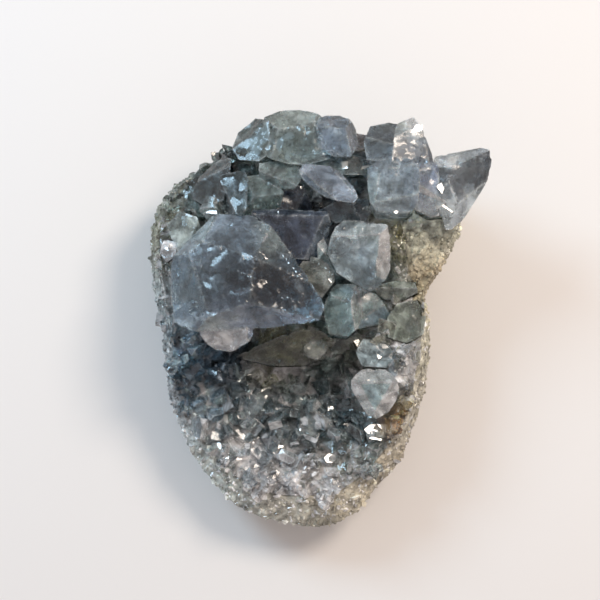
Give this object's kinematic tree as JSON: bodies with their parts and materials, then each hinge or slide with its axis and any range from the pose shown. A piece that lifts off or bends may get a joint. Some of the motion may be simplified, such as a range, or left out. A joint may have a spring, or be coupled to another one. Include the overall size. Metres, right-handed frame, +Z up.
{
  "type": "celestite geode",
  "caption": "Hand-size piece of geode rind with a shallow hollow, lined and overgrown by grey-blue celestite crystals, lying crystals up on a small flat spot.",
  "frame": {"origin": "on the resting plane, under the middle of the bounding box", "axes": "+Y along the longest side, towards the end with the tall crystals; +X towards the pointed crystal; +Z up"},
  "size_m": [0.0926, 0.1118, 0.0458],
  "materials": {
    "rind": "rough granular grey-tan rind",
    "crust": "small clear grey crystals on a dark olive bed",
    "deep_blue": "clear deep grey-blue crystal with veils and chips",
    "dark": "clear dark grey crystal",
    "hazy": "hazy pale grey-blue crystal",
    "pale": "pale translucent crystal"
  },
  "bodies": {
    "root": {"host_rock": "rind", "crystal_crust": "crust", "great_crystal": "deep_blue", "dark_crystal": "dark", "rib_crystals": "dark", "blade_crystal": "hazy", "upper_left_crystals": "dark", "top_crystals": "hazy", "top_right_crystals": "hazy", "corner_crystal": "hazy", "middle_crystal": "dark", "pale_blue_crystal": "hazy", "ledge_crystal": "dark", "cup_crystal": "hazy", "left_rim_crystals": "pale", "right_rear_crystal": "pale", "right_rim_crystal": "pale", "right_front_crystal": "pale"}
  },
  "joints": []
}
